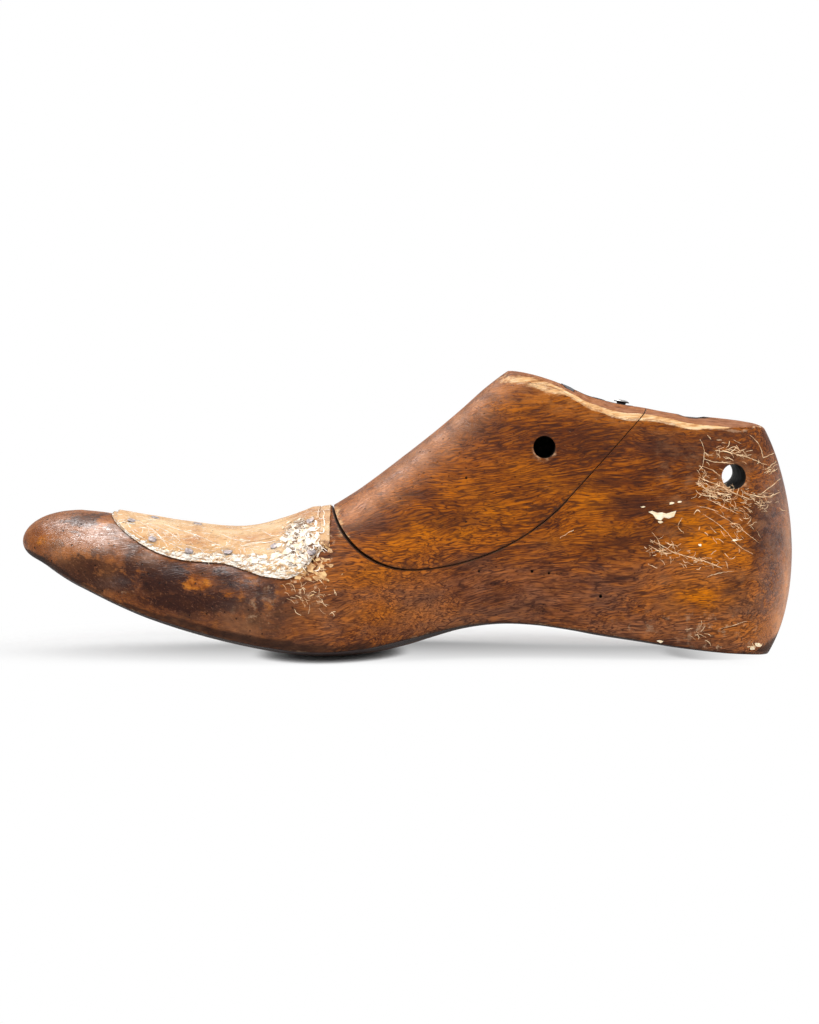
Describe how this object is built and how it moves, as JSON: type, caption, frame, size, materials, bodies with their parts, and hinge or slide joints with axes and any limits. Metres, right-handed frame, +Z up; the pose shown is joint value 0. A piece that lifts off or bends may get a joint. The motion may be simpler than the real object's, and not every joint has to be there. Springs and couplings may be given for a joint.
{
  "type": "cobbler last",
  "caption": "Right-foot wooden shoe last with a lift-out scoop block, a draw pin, a steel jack thimble and a tacked leather instep fitting.",
  "frame": {"origin": "on the ground, under the middle of the last's length and width", "axes": "+X to the heel, -X to the toe, -Y to the inner side of the foot, +Z up"},
  "size_m": [0.2906, 0.0903, 0.1069],
  "materials": {
    "last_wood": "worn, oiled",
    "peg_wood": "bare",
    "fitting_leather": "scuffed",
    "dark_steel": "tarnished",
    "tack_iron": "worn bright on top"
  },
  "bodies": {
    "last": {"last_body": "last_wood", "jack_thimble": "dark_steel", "locating_peg": "peg_wood", "leather_lower_layer": "fitting_leather", "leather_upper_layer": "fitting_leather", "tack_01": "tack_iron", "tack_02": "tack_iron", "tack_03": "tack_iron", "tack_04": "tack_iron", "tack_05": "tack_iron", "tack_06": "tack_iron", "tack_07": "tack_iron", "tack_08": "tack_iron", "tack_09": "tack_iron", "tack_10": "tack_iron", "tack_11": "tack_iron", "tack_12": "tack_iron", "tack_13": "tack_iron", "tack_14": "tack_iron", "tack_15": "tack_iron"},
    "block": {"scoop_block": "last_wood", "block_strap": "dark_steel", "strap_screw_front": "dark_steel", "strap_screw_rear": "dark_steel"},
    "pin": {"block_pin": "dark_steel"}
  },
  "joints": [
    {"name": "block_lift", "type": "slide", "parent": "last", "child": "block", "axis": [0.1794, 0, 0.9838], "range_m": [0, 0.07]},
    {"name": "pin_draw", "type": "slide", "parent": "block", "child": "pin", "axis": [0.1794, 0, 0.9838], "range_m": [0, 0.035]}
  ]
}
